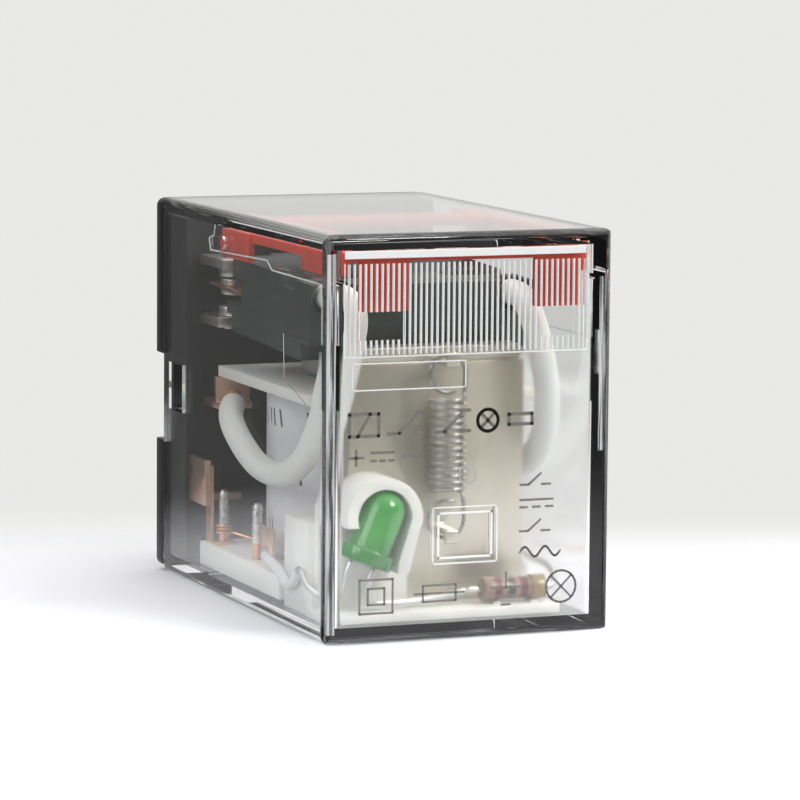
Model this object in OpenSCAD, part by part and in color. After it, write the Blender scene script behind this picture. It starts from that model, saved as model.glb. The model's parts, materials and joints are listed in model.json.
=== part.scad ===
// Plug-in two-pole control relay in a clear dust cover, lying on its narrow side.
// X is the width, Z the height with the coil below and the contacts above. The label
// face looks to -Y and the plug-in blades point to +Y. All sizes are in millimetres.

/* [Case] */
// Width of the clear case
case_w = 21.0; // [20.8:0.1:21.4]
// Height of the clear case
case_h = 27.8; // [27.7:0.1:28.0]
// Depth of the clear case from the label face to the base flange
case_l = 34.0; // [34:0.1:35]
// Thickness of the side, top and bottom walls
wall_t = 1.1; // [1.0:0.05:1.15]
// Thickness of the label wall
face_t = 1.0; // [0.8:0.05:1.0]
// Radius of the outer edges
edge_r = 0.6; // [0.3:0.1:0.8]
// Distance between two ribs of the ribbed band
rib_pitch = 0.4; // [0.3:0.05:0.7]

/* [Base] */
// Thickness of the base flange
flange_t = 1.8; // [1.2:0.1:2]
// Depth of the plug body that fits inside the case
plug_l = 4.0; // [4:0.1:4.3]

/* [Terminals] */
// Length of a blade outside the base
blade_l = 6.3; // [5:0.1:8]
// Width of a blade
blade_w = 2.6; // [2.2:0.1:2.8]
// Thickness of a blade
blade_t = 0.5; // [0.4:0.05:0.5]
// Distance between the two columns of blades
pole_pitch = 13.15; // [13:0.05:13.3]
// Height of the coil blades
coil_row = 6.1; // [6:0.05:6.2]
// Height of the common contact blades
com_row = 13.1; // [13:0.05:13.2]
// Height of the normally open contact blades
no_row = 19.4; // [19.35:0.05:19.4]
// Height of the normally closed contact blades
nc_row = 23.5; // [23.5:0.05:23.55]

/* [Coil] */
// Radius of the wound coil under its tape
winding_r = 6.3; // [6:0.1:6.9]
// Thickness of the tape layer
tape_t = 0.3; // [0.1:0.05:0.3]
// Distance from the label face to the coil axis
coil_y = 18.9; // [18.7:0.1:19]

/* [Motion] */
// Angle of the released armature above the pole face
tilt = 2.2; // [2:0.05:2.2]
// Distance from the label face to the contact rivets
contact_y = 27.3; // [27.2:0.1:27.4]

/* [Return spring] */
// Diameter of the spring wire
spring_wire = 0.35; // [0.25:0.05:0.35]
// Outer diameter of the spring body
spring_d = 2.8; // [2.4:0.1:2.8]
// Number of turns in the spring body
spring_turns = 14; // [10:1:14]

/* [Hidden] */

left = -1;
right = 1;
eps = 0.1;          // overshoot of a cut past the face that it opens
fit = 0.02;         // gap of a pressed-in part on each side
run = 0.05;         // gap of a part that turns or slides

// The label face lies half the overall length in front of the origin.
body_l = case_l + flange_t;
face_y = -(body_l + blade_l) / 2;

// Inside of the case.
in_x = case_w / 2 - wall_t;
in_z0 = wall_t;
in_z1 = case_h - wall_t;
inner_r = 0.5;      // radius of the upright inner corners beside the label wall
step_y = 24.5;      // the floor is a little thicker behind this line
step_t = 0.23;
plug_y = case_l - plug_l;
plug_x = in_x - eps;
plug_z0 = in_z0 + step_t + 0.07;
plug_z1 = in_z1 - eps;

// Ribbed band of the label wall and the two clear windows in it: [x0, x1, z0, z1].
band = [-8.65, 8.7, 19.6, 25.75];
windows = [[-7.75, -4.85, 20.6, 22.5], [5.2, 7.85, 20.5, 22.5]];
groove_w = 0.15;    // width and depth of the V groove that parts two ribs
rib_depth = 0.1;
frame_box = [-2.55, 2.05, 5.3, 9.05];
frame_w = 0.35;
frame_depth = 0.2;

// Latches between case and base, and the side notches of the flange.
latch_y = [29.8, 32.8];
latch_z = [12.3, 15.8];
latch_gap = 0.2;
flange_x = 10.5;
flange_z = [0.2, 27.7];
notch_x = 9.5;
notch_z = [9.8, 16.2];
recess = [4, 0.4];  // width and depth of the moulded recess between the blades
recess_z = [8, 12];

column = pole_pitch / 2;
rows = [coil_row, com_row, no_row, nc_row];

// Magnet: yoke, core and the pivot edge of the armature.
yoke_x = 6.5;
yoke_y0 = 6.3;
yoke_t = 1.2;
yoke_z0 = 1.2;
yoke_z1 = 18.4;
yoke_back = 24;
core_r = 2.4;
core_tail_r = 1.6;
pole_r = 4;
pole_z = [16.2, 18.35];
pivot = [yoke_y0, yoke_z1 + 0.03];

// Bobbin.
tube_r = 3.4;
lower_z = [1.4, 3.1];
upper_z = [15.3, 16.1];
tray_x = 8.9;
tray_y = [11.0, 28.0];
upper_x = 7.9;
upper_y = [yoke_y0 + yoke_t + run, 26.9];
pin_r = 0.35;
pin_x = 7.8;
pins_y = [18.6, 25.8];
pin_z = [2, 7.0];

// Contacts. The moving ones are given as they lie when the armature is pulled in.
arm_w = 3.3;
arm_t = 0.7;
arm_front = 24.9;
spring_z = [20.9, 21.1];
spring_y = [14, 29.7];
spring_w = 2.2;
rivet_r = 1.1;
shank_r = 0.6;
moving_z = [20.43, 21.62];
moving_r = 1;
moving_shank_r = 0.5;
contact_gap_no = 20.4;
contact_gap_nc = 22.5;

plate_z = [pivot[1], 19.4];
plate_x = 6.2;
plate_y = [yoke_y0, 22];
block_x = 7.8;
block_y = [8, 25.3];
block_z = [18.2, 23.6];

// White sleeved leads from the common terminals to the contact block.
lead_r = 0.95;
lead_bore_r = 0.56;
braid_r = 0.5;
lead_hole_r = 1.25;
lead_route = [[7.0, 26.0, 13.4], [7.9, 24.1, 12.7], [8.35, 21.4, 11.7], [8.35, 18.2, 10.4],
    [8.35, 15, 9.9], [8.3, 11.2, 10.2], [8.2, 7.9, 11.7], [8.0, 5.9, 13.9], [7.6, 4.9, 16.6],
    [7.0, 4.8, 19.5], [6.5, 5.2, 21.6], [6.4, 6.8, 22.7], [6.4, 9.0, 22.8]];
braid_ends = [[6.6, 26.85, 14.1], [6.4, 9.5, 22.8]];

// Small coil-side wiring.
wire_r = 0.25;
coil_wire_r = 0.1;
led_base = [-6.6, 3.1, 5.1];
led_lean = 22;
led_r = 1.5;
led_flange = [1.9, 1];
led_h = 5.3;
led_arch = [-5.35, 8.25, 2.75];
led_arch_bore = 1.98;
led_lead_a = [[-7.44, 3.1, 5.41], [-7.93, 3.1, 4.2], [-8.3, 3.5, 2.9], [-9.0, 4.9, 3.3],
    [-9.0, 6.6, 4.2], [-9.0, 8.5, 2.75], [-9.0, 11, 3.65], [-8.8, 14.2, 4.1], [-8.0, 16, 4.3]];
sleeved = [4, 7];   // the tube covers this lead between these two route points
led_lead_b = [[-5.78, 3.1, 4.73], [-6.27, 3.1, 3.53], [-6.0, 3.3, 2.5], [-5.2, 3.6, 2.2],
    [-2, 4, 2.2], [0.4, 4, 2.5], [1.3, 4, 2.7]];
resistor_x = [2.5, 7.1];
resistor_y = 4;
resistor_z = 2.7;
resistor_r = 0.85;
resistor_lead = [[7.1, 4, 2.7], [8.0, 4.2, 2.8], [8.8, 6.4, 3.4], [9.0, 8.8, 3.6], [9.0, 11.2, 3.6],
    [8.8, 14.2, 4.1], [8.0, 16, 4.3]];

// Return spring between the yoke lug and the armature tab.
spring_axis_y = 4.4;
coil_r = (spring_d - spring_wire) / 2;
coil_z = [9.5, 16.1];
loop_r = 1.325;
loop_low_z = 7.65;
loop_top_z = 17.725;
loop_sweep = 300;
lug_x = 0.5;
lug_y = 3.3;
lug_z = [6.67, 7.05];

// Red indicator lever.
lever_pivot = [21.5, 25.5];
lever_z = [25.85, 26.5];
lever_y = [1.3, 22.3];
lever_x = 8.9;
arm_x = 7.6;
ears = [[-7.55, -4.15], [5.2, 8.5]];
ear_z = 22.5;
ear_t = 0.7;
flange_y0 = 16.8;
side_x = [8.7, 9.2];
side_z = 24.5;
leg_x = 8.35;
leg_y = 6.9;
leg_z = 24.9;
peg = [17.1, 0.35, 24.06];
axle_r = 0.45;
axle_x = 9.85;

// ---- geometry helpers ----

function unit(v) = v / norm(v);
function flip(p, side) = [side * p[0], p[1], p[2]];

// A smooth curve through every point of a route, with n steps between two points.
function curve_point(a, b, c, d, t) =
    0.5 * (2 * b + (c - a) * t + (2 * a - 5 * b + 4 * c - d) * t * t
        + (3 * b - a - 3 * c + d) * t * t * t);
function smooth(p, n) = [
    for (i = [0 : len(p) - 2], k = [0 : n - 1])
        curve_point(p[max(i - 1, 0)], p[i], p[i + 1], p[min(i + 2, len(p) - 1)], k / n),
    p[len(p) - 1]];

// Direction of travel at every point, and a side vector that never twists around it.
function headings(p) = [
    for (i = [0 : len(p) - 1]) unit(p[min(i + 1, len(p) - 1)] - p[max(i - 1, 0)])];
function square_to(u, t) = unit(u - t * (u * t));
function first_side(t) = square_to(abs(t[0]) < 0.7 ? [1, 0, 0] : [0, 1, 0], t);
function sides_along(t) = [
    for (i = 0, u = first_side(t[0]); i < len(t);
        i = i + 1, u = square_to(u, t[min(i, len(t) - 1)])) u];
function rings(p, r, n) =
    let (t = headings(p), s = sides_along(t))
    [for (i = [0 : len(p) - 1], k = [0 : n - 1])
        p[i] + r * (cos(360 * k / n) * s[i] + sin(360 * k / n) * cross(t[i], s[i]))];
function skin(count, n, start = 0) = [
    for (i = [0 : count - 2], k = [0 : n - 1])
        [start + i * n + k, start + (i + 1) * n + k, start + (i + 1) * n + (k + 1) % n,
            start + i * n + (k + 1) % n]];
function reversed(list) = [for (i = [len(list) - 1 : -1 : 0]) list[i]];

// A round wire along a route.
module wire(p, r, n = 8) {
    last = (len(p) - 1) * n;
    ends = [[for (k = [0 : n - 1]) k], [for (k = [n - 1 : -1 : 0]) last + k]];
    polyhedron(rings(p, r, n), concat(skin(len(p), n), ends));
}

// A round hollow sleeve along a route.
module sleeve(p, r, bore, n = 10) {
    count = len(p);
    inner = count * n;
    last = (count - 1) * n;
    front = [for (k = [0 : n - 1]) [k, (k + 1) % n, inner + (k + 1) % n, inner + k]];
    back = [for (k = [0 : n - 1])
        [last + k, inner + last + k, inner + last + (k + 1) % n, last + (k + 1) % n]];
    bore_skin = [for (f = skin(count, n, inner)) reversed(f)];
    polyhedron(concat(rings(p, r, n), rings(p, bore, n)), concat(skin(count, n), bore_skin, front, back));
}

// A box between two limits on each axis.
module box(x, y, z) {
    translate([x[0], y[0], z[0]]) cube([x[1] - x[0], y[1] - y[0], z[1] - z[0]]);
}

// The same box on the left or the right side of the middle.
module side_box(side, x, y, z) {
    if (side > 0) box(x, y, z);
    else box([-x[1], -x[0]], y, z);
}

module both() {
    children();
    mirror([1, 0, 0]) children();
}

// A rectangle with round corners, given by its limits.
module round_rect(x, y, r) {
    translate([x[0] + r, y[0]]) square([x[1] - x[0] - 2 * r, y[1] - y[0]]);
    translate([x[0], y[0] + r]) square([x[1] - x[0], y[1] - y[0] - 2 * r]);
    for (cx = [x[0] + r, x[1] - r], cy = [y[0] + r, y[1] - r]) translate([cx, cy]) circle(r, $fn = 32);
}

// Extrusions of an outline drawn in the XZ plane along Y, and in the YZ plane along X.
module along_y(y0, y1) {
    translate([0, y1, 0]) rotate([90, 0, 0]) linear_extrude(y1 - y0) children();
}
module along_x(x0, x1) {
    translate([x0, 0, 0]) rotate([90, 0, 90]) linear_extrude(x1 - x0) children();
}
module upright(x, y, z0, z1, r) {
    translate([x, y, z0]) cylinder(h = z1 - z0, r = r, $fn = 48);
}

// Places a part that is measured from the label face.
module from_face() {
    translate([0, face_y, 0]) children();
}

// Lifts a part of the armature from the pulled-in to the released position.
module released() {
    from_face() translate([0, pivot[0], pivot[1]]) rotate([tilt, 0, 0])
        translate([0, -pivot[0], -pivot[1]]) children();
}

// ---- housing ----

module case_shell() {
    intersection() {
        along_y(0, case_l) round_rect([-case_w / 2, case_w / 2], [0, case_h], edge_r);
        linear_extrude(case_h) round_rect([-case_w / 2, case_w / 2], [0, 2 * case_l], edge_r);
        along_x(-case_w / 2, case_w / 2) round_rect([0, 2 * case_l], [0, case_h], edge_r);
    }
}

// V grooves on the inner side of the label wall, left out behind the clear windows.
module rib_grooves() {
    difference() {
        translate([0, face_t, band[2]]) linear_extrude(band[3] - band[2])
            for (x = [band[0] : rib_pitch : band[1] - groove_w])
                polygon([[x, eps], [x, 0], [x + groove_w / 2, -rib_depth], [x + groove_w, 0],
                    [x + groove_w, eps]]);
        for (w = windows) box([w[0], w[1]], [0, face_t + 2 * eps], [w[2], w[3]]);
    }
}

module case() {
    color("white", 0.3) from_face() {
        difference() {
            case_shell();
            translate([0, 0, in_z0]) linear_extrude(in_z1 - in_z0) intersection() {
                round_rect([-in_x, in_x], [face_t, case_l], inner_r);
                translate([-in_x, 0]) square([2 * in_x, step_y]);
            }
            box([-in_x, in_x], [step_y - eps, case_l + eps], [in_z0 + step_t, in_z1]);
            rib_grooves();
            difference() {
                box([frame_box[0], frame_box[1]], [face_t - frame_depth, face_t + eps],
                    [frame_box[2], frame_box[3]]);
                box([frame_box[0] + frame_w, frame_box[1] - frame_w], [0, face_t + 2 * eps],
                    [frame_box[2] + frame_w, frame_box[3] - frame_w]);
            }
            both() {
                box([in_x - eps, case_w / 2 + eps], latch_y, latch_z);
                translate([in_x - eps, lever_pivot[0], lever_pivot[1]]) rotate([0, 90, 0])
                    cylinder(h = axle_x + run - in_x + eps, r = axle_r + run, $fn = 32);
            }
        }
        both() {
            box([9.0, in_x + eps], [face_t - eps, 10.5], [24.4, 24.7]);
            box([8.9, in_x + eps], [22.7, 24.1], [24.8, 25.8]);
            along_x(9.2, in_x + eps)
                polygon([[face_t - eps, 15.9], [4.3, 15.9], [8.8, 17.2], [9.0, 20.3], [face_t - eps, 20.3]]);
        }
    }
}

// Black moulded base: flange, plug body, latch wedges, pole barrier, eight slots, a recess.
module base() {
    color("#1b1b1d") from_face() difference() {
        union() {
            along_y(case_l, body_l) difference() {
                round_rect([-flange_x, flange_x], flange_z, edge_r);
                for (side = [left, right]) translate([side * (notch_x + 1), (notch_z[0] + notch_z[1]) / 2])
                    square([2, notch_z[1] - notch_z[0]], center = true);
            }
            box([-plug_x, plug_x], [plug_y, case_l], [plug_z0, plug_z1]);
            both() translate([0, 0, latch_z[0] + latch_gap])
                linear_extrude(latch_z[1] - latch_z[0] - 2 * latch_gap)
                polygon([[plug_x - eps, plug_y + latch_gap], [plug_x, plug_y + latch_gap],
                    [case_w / 2 - 0.2, latch_y[1] - 0.5], [case_w / 2 - 0.2, latch_y[1] - latch_gap],
                    [plug_x - eps, latch_y[1] - latch_gap]]);
            box([-0.6, 0.6], [25.9, plug_y + eps], [17, 25.6]);
        }
        for (side = [left, right], z = rows) translate([side * column, (plug_y + body_l) / 2, z])
            cube([blade_w + 2 * fit, body_l - plug_y + 2 * eps, blade_t + 2 * fit], center = true);
        box([-recess[0] / 2, recess[0] / 2], [body_l - recess[1], body_l + eps], recess_z);
    }
}

// ---- magnet system ----

// Bent steel yoke with the lug that holds the lower end of the return spring.
module yoke() {
    color("#9aa0a6") from_face() {
        difference() {
            union() {
                box([-yoke_x, yoke_x], [yoke_y0, yoke_y0 + yoke_t], [yoke_z0, yoke_z1]);
                box([-yoke_x, yoke_x], [yoke_y0, yoke_back], [yoke_z0, yoke_z0 + yoke_t]);
            }
            upright(0, coil_y, yoke_z0 - eps, yoke_z0 + yoke_t + eps, core_tail_r);
        }
        box([-lug_x, lug_x], [lug_y, yoke_y0 + eps], lug_z);
        box([-lug_x, lug_x], [lug_y, lug_y + 0.35], [lug_z[0] - 0.6, lug_z[1]]);
    }
}

// Soft iron core, riveted into the yoke, with its pole disc on top.
module core() {
    color("#b4b8bc") from_face() {
        upright(0, coil_y, yoke_z0, yoke_z0 + yoke_t, core_tail_r);
        upright(0, coil_y, yoke_z0 + yoke_t, pole_z[0], core_r);
        upright(0, coil_y, pole_z[0], pole_z[1], pole_r);
    }
}

// White bobbin: lower tray around the yoke, tube, upper flange.
module coil_bobbin() {
    color("#eceae4") from_face() difference() {
        union() {
            box([-tray_x, tray_x], tray_y, [yoke_z0 + yoke_t, lower_z[1]]);
            both() box([yoke_x + run, tray_x], tray_y, lower_z);
            box([-tray_x, tray_x], [yoke_back + run, tray_y[1]], [lower_z[0], lower_z[1]]);
            upright(0, coil_y, lower_z[1] - eps, upper_z[0] + eps, tube_r);
            box([-upper_x, upper_x], upper_y, upper_z);
        }
        upright(0, coil_y, 0, pole_z[0] + eps, core_r + fit);
        for (y = pins_y) both() upright(pin_x, y, pin_z[0], lower_z[1] + eps, pin_r);
    }
}

module ring(r0, r1, z0, z1) {
    difference() {
        upright(0, coil_y, z0, z1, r1);
        upright(0, coil_y, z0 - eps, z1 + eps, r0);
    }
}

module coil_winding() {
    color("#b5622d") from_face() ring(tube_r, winding_r, lower_z[1], upper_z[0]);
}

module coil_tape() {
    color("#d9d6e0") from_face() ring(winding_r, winding_r + tape_t, lower_z[1] + 0.5, upper_z[0] - 0.2);
}

module coil_pins() {
    color("#c9a27a") from_face() for (y = pins_y) both() upright(pin_x, y, pin_z[0], pin_z[1], pin_r);
}

// Enamelled wire wound around the rear pins and led to the winding.
module coil_wire_ends() {
    turns = 3;
    color("#c0642a") from_face() for (side = [left, right]) {
        for (k = [0 : turns - 1]) translate([side * pin_x, pins_y[1], 4 + k * 2.5 * coil_wire_r])
            rotate_extrude($fn = 24) translate([pin_r + coil_wire_r, 0]) circle(coil_wire_r, $fn = 16);
        wire([for (p = [[pin_x - pin_r - coil_wire_r, pins_y[1], 4], [6.4, 24.6, 3.7], [5.0, 23.15, 3.35]])
            flip(p, side)], coil_wire_r, 6);
    }
}

// Copper strap from a rear pin up to the coil terminal, spot-welded to it.
module coil_strap(side) {
    color("#c47a4a") from_face() difference() {
        union() {
            side_box(side, [8.35, 8.6], [26.4, 27.6], [lower_z[1], 8.8]);
            side_box(side, [7.1, 8.6], [25.2, 27.6], [lower_z[1], lower_z[1] + 0.25]);
        }
        upright(side * pin_x, pins_y[1], lower_z[1] - eps, lower_z[1] + 1, pin_r);
    }
}

// Copper tab beside a front pin for the indicator lamp circuit.
module led_tab(side) {
    color("#c98d63") from_face() side_box(side, [7.45, 7.7], [15.7, 18.2], [lower_z[1], 5.6]);
}

// Spring of one round wire: an open loop, the wound body and a second open loop.
module return_spring() {
    steps = 16;
    rise = (coil_z[1] - coil_z[0]) / spring_turns;
    loop = [for (a = [360 - loop_sweep : 20 : 360]) a];
    low = [for (a = loop) [loop_r * cos(a), spring_axis_y, loop_low_z + loop_r * sin(a)]];
    body = [for (i = [0 : spring_turns * steps])
        [coil_r * cos(360 * i / steps), spring_axis_y + coil_r * sin(360 * i / steps),
            coil_z[0] + rise * i / steps]];
    top = [for (a = [0 : 20 : loop_sweep])
        [loop_r * cos(a), spring_axis_y, loop_top_z + loop_r * sin(a)]];
    color("#8d8f93") from_face() wire(concat(low, body, top), spring_wire / 2, 6);
}

// ---- armature ----

module armature() {
    color("#a9adb1") released() {
        box([-plate_x, plate_x], plate_y, plate_z);
        box([-lug_x, lug_x], [lug_y, plate_y[0] + 1], [plate_z[0], plate_z[0] + 0.28]);
        box([-lug_x, lug_x], [lug_y, lug_y + 0.35], [plate_z[0], plate_z[1]]);
    }
}

// Moulded block that carries both contact springs.
module contact_block() {
    color("#3c4742") released() difference() {
        union() {
            box([-block_x, block_x], block_y, [plate_z[1], block_z[1]]);
            both() box([plate_x + run, block_x], [block_y[0] + 1.5, block_y[1] - 1], [block_z[0], plate_z[1] + eps]);
        }
        both() {
            box([column - spring_w / 2, column + spring_w / 2], [spring_y[0], block_y[1] + eps], spring_z);
            box([4.6, block_x + eps], [22.4, block_y[1] + eps], [20.2, 22.1]);
            box([4.6, block_x + eps], [arm_front - 0.7, block_y[1] + eps], [22, block_z[1] + eps]);
            box([2.6, block_x + eps], [11.5, 14], [block_z[1] - 0.8, block_z[1] + eps]);
            translate([6.4, block_y[0] - eps, 22.65]) rotate([-90, 0, 0])
                cylinder(h = 2.2, r = lead_hole_r, $fn = 32);
        }
    }
}

module moving_spring(side) {
    color("#c98b5e") released() difference() {
        translate([side * column - spring_w / 2, 0, 0]) box([0, spring_w], spring_y, spring_z);
        upright(side * column, contact_y, spring_z[0] - eps, spring_z[1] + eps, moving_shank_r);
    }
}

module moving_contact(side) {
    color("#d8d9dc") released() {
        upright(side * column, contact_y, moving_z[0], spring_z[0], moving_r);
        upright(side * column, contact_y, spring_z[0], spring_z[1], moving_shank_r);
        upright(side * column, contact_y, spring_z[1], moving_z[1], moving_r);
    }
}

// ---- terminals ----

// The plug-in blade of a terminal from the inside of the base to its pointed end.
module blade(z) {
    tip = 0.7;
    half = blade_w / 2;
    end_y = body_l + blade_l;
    difference() {
        translate([0, 0, z - blade_t / 2]) linear_extrude(blade_t)
            polygon([[-half, plug_y - 0.1], [half, plug_y - 0.1], [half, end_y - tip], [half - tip, end_y],
                [tip - half, end_y], [-half, end_y - tip]]);
        for (dy = [-0.5, 0.5]) upright(0, body_l + 0.6 * blade_l + dy, z - blade_t, z + blade_t, 0.6);
        box([-0.6, 0.6], [body_l + 0.6 * blade_l - 0.5, body_l + 0.6 * blade_l + 0.5], [z - blade_t, z + blade_t]);
    }
}

module fixed_arm(front, z0) {
    difference() {
        box([-arm_w / 2, arm_w / 2], [front, plug_y], [z0, z0 + arm_t]);
        upright(0, contact_y, z0 - eps, z0 + arm_t + eps, shank_r);
    }
}

module nc_terminal(side) {
    color("#c58a66") from_face() translate([side * column, 0, 0]) {
        blade(nc_row);
        fixed_arm(arm_front, nc_row - blade_t / 2);
    }
}

module no_terminal(side) {
    color("#c58a66") from_face() translate([side * column, 0, 0]) {
        blade(no_row);
        fixed_arm(arm_front + 1, no_row + blade_t / 2 - arm_t);
    }
}

// The common terminal ends in an upright solder tab for the lead.
module com_terminal(side) {
    color("#c58a66") from_face() translate([side * column, 0, 0]) {
        blade(com_row);
        box([-blade_w / 2, blade_w / 2], [26.8, plug_y], [com_row - blade_t / 2, com_row + blade_t / 2]);
        box([-blade_w / 2, blade_w / 2], [27.4, 27.9], [com_row, 15.2]);
    }
}

// The coil terminal is bent up beside the wall, where the strap meets it.
module coil_terminal(side) {
    color("#c58a66") from_face() {
        translate([side * column, 0, 0]) blade(coil_row);
        side_box(side, [column - blade_w / 2, 9.1], [29.1, plug_y],
            [coil_row - blade_t / 2, coil_row + blade_t / 2]);
        side_box(side, [8.6, 9.1], [26.3, plug_y], [coil_row - blade_t / 2, 9.2]);
    }
}

// A contact rivet set in a fixed arm: head towards the moving contact, shank, formed tail.
module rivet(side, head, arm, tail) {
    color("#dcdde0") from_face() {
        upright(side * column, contact_y, head[0], head[1], rivet_r);
        upright(side * column, contact_y, arm[0], arm[1], shank_r);
        upright(side * column, contact_y, tail[0], tail[1], shank_r + 0.25);
    }
}

module nc_contact(side) {
    low = nc_row - blade_t / 2;
    rivet(side, [contact_gap_nc, low], [low, low + arm_t], [low + arm_t, low + arm_t + 0.25]);
}

module no_contact(side) {
    high = no_row + blade_t / 2;
    rivet(side, [high, contact_gap_no], [high - arm_t, high], [high - arm_t - 0.25, high - arm_t]);
}

// ---- leads ----

module lead_sleeve(side) {
    color("#f2f0ea") from_face()
        sleeve([for (p = smooth(lead_route, 3)) flip(p, side)], lead_r, lead_bore_r);
}

module lead_braid(side) {
    route = concat([braid_ends[0]], lead_route, [braid_ends[1]]);
    color("#b87b4b") from_face() wire([for (p = smooth(route, 3)) flip(p, side)], braid_r, 8);
}

// ---- lamp circuit ----

module led() {
    color("#3fae49") from_face() translate(led_base) rotate([0, led_lean, 0]) {
        cylinder(h = led_flange[1], r = led_flange[0], $fn = 48);
        cylinder(h = led_h - led_r, r = led_r, $fn = 48);
        translate([0, 0, led_h - led_r]) sphere(led_r, $fn = 48);
    }
}

module led_leads() {
    color("#b9bcc0") from_face() {
        wire(smooth(led_lead_a, 3), wire_r);
        wire(smooth(led_lead_b, 3), wire_r);
    }
}

module led_lead_sleeve() {
    steps = 3;
    lead = smooth(led_lead_a, steps);
    color("#f4f4f0") from_face()
        sleeve([for (i = [sleeved[0] * steps : sleeved[1] * steps]) lead[i]], 0.38, wire_r + 0.04);
}

// White holder: back plate with an arch over the lamp, side wing and a floor strip.
module led_holder() {
    color("#efede8") from_face() {
        along_y(5.1, 6.1) {
            translate([led_arch[0], led_arch[1]]) circle(led_arch[2], $fn = 48);
            translate([led_arch[0] - led_arch[2], in_z0]) square([2 * led_arch[2], led_arch[1] - in_z0]);
        }
        along_y(2.2, 5.2) intersection() {
            translate([led_arch[0], led_arch[1]]) difference() {
                circle(led_arch[2], $fn = 48);
                circle(led_arch_bore, $fn = 48);
            }
            translate([led_arch[0] - led_arch[2], led_arch[1] - 0.6]) square([2 * led_arch[2], 2 * led_arch[2]]);
        }
        along_y(2.2, 5.2) polygon([[-2.6, 8.25], [-3.35, 8.25], [-4.3, 5.3], [-4.45, 4.4], [-3.6, 4.4]]);
        box([-8.6, -6.7], [6, 10.7], [in_z0, 7.5]);
        box([-8.7, 7.6], [2.2, 6.1], [in_z0, 1.7]);
        box([-8.6, -6.7], [5.1, 6.2], [in_z0, 3]);
        for (x = [3.2, 6.0]) box([x, x + 0.5], [3.4, 4.6], [1.6, resistor_z - resistor_r]);
    }
}

module resistor() {
    color("#d8c49a") from_face() translate([resistor_x[0], resistor_y, resistor_z]) rotate([0, 90, 0]) {
        cylinder(h = resistor_x[1] - resistor_x[0], r = resistor_r - 0.1, $fn = 48);
        cylinder(h = 1.1, r = resistor_r, $fn = 48);
        translate([0, 0, resistor_x[1] - resistor_x[0] - 1.1]) cylinder(h = 1.1, r = resistor_r, $fn = 48);
    }
}

module resistor_leads() {
    color("#b9bcc0") from_face() {
        wire([[1.3, resistor_y, resistor_z], [resistor_x[0], resistor_y, resistor_z]], wire_r);
        wire(smooth(resistor_lead, 3), wire_r);
    }
}

// ---- mechanical indicator ----

// Red lever: two side arms, cross bars, two flags behind the windows, peg and axles.
module indicator_lever() {
    color("#e0362c") from_face() {
        both() {
            box([arm_x, lever_x], lever_y, lever_z);
            box([leg_x, lever_x], [lever_y[0], leg_y], [leg_z, lever_z[0] + eps]);
            box(side_x, [flange_y0, lever_y[1]], [side_z, lever_z[1]]);
            translate([side_x[1] - eps, lever_pivot[0], lever_pivot[1]]) rotate([0, 90, 0])
                cylinder(h = axle_x - side_x[1] + eps, r = axle_r, $fn = 32);
        }
        for (ear = ears) box(ear, [lever_y[0], lever_y[0] + ear_t], [ear_z, lever_z[0] + eps]);
        box([-lever_x, lever_x], [lever_y[0], 2.6], lever_z);
        box([-lever_x, lever_x], [15.8, 19.5], lever_z);
        upright(0, peg[0], peg[2], lever_z[1], peg[1]);
    }
}

case();
base();
yoke();
core();
coil_bobbin();
coil_winding();
coil_tape();
coil_pins();
coil_wire_ends();
coil_strap(left);  // coil_strap_left
coil_strap(right);  // coil_strap_right
led_tab(left);  // led_tab_left
led_tab(right);  // led_tab_right
armature();
contact_block();
moving_spring(left);  // moving_spring_left
moving_spring(right);  // moving_spring_right
moving_contact(left);  // moving_contact_left
moving_contact(right);  // moving_contact_right
nc_terminal(left);  // nc_terminal_left
nc_terminal(right);  // nc_terminal_right
no_terminal(left);  // no_terminal_left
no_terminal(right);  // no_terminal_right
com_terminal(left);  // com_terminal_left
com_terminal(right);  // com_terminal_right
coil_terminal(left);  // coil_terminal_left
coil_terminal(right);  // coil_terminal_right
nc_contact(left);  // nc_contact_left
nc_contact(right);  // nc_contact_right
no_contact(left);  // no_contact_left
no_contact(right);  // no_contact_right
return_spring();
lead_sleeve(left);  // lead_sleeve_left
lead_sleeve(right);  // lead_sleeve_right
lead_braid(left);  // lead_braid_left
lead_braid(right);  // lead_braid_right
led();
led_leads();
led_lead_sleeve();
led_holder();
resistor();
resistor_leads();
indicator_lever();
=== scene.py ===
"""Plug-in control relay: clear cover, black base, coil, armature, contacts, lamp and red flag."""

import json
import math

import bpy
from mathutils import Matrix, Vector

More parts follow.
